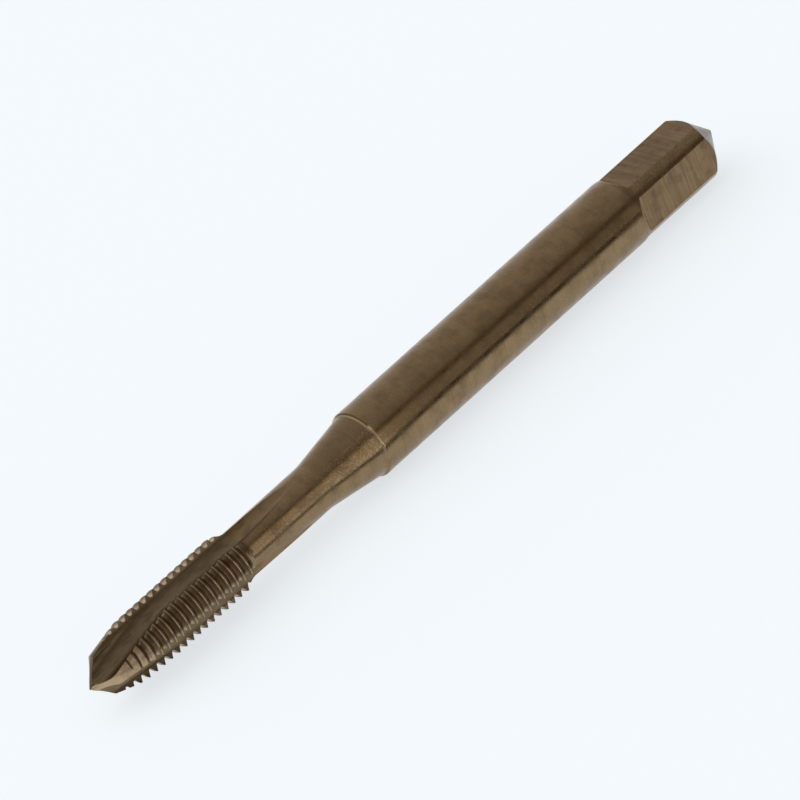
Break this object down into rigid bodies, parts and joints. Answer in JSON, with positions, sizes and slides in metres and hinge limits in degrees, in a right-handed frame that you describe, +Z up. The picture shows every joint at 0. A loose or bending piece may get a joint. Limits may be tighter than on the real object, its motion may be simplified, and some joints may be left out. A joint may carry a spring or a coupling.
{
  "type": "thread tap",
  "caption": "Spiral-point machine tap: pointed fluted thread-cutting nose, thin neck, plain shank and square drive end with a male centre.",
  "frame": {"origin": "on the surface that the shank lies on, below the middle of the tap's length", "axes": "+X along the tap's axis from the nose to the square, +Z up and normal to the square's upper flat"},
  "size_m": [0.0738, 0.006, 0.006],
  "materials": {
    "tinted_steel": "ground high-speed steel with a bronze-brown oxide tint, satin"
  },
  "bodies": {
    "root": {"tap": "tinted_steel"}
  },
  "joints": []
}
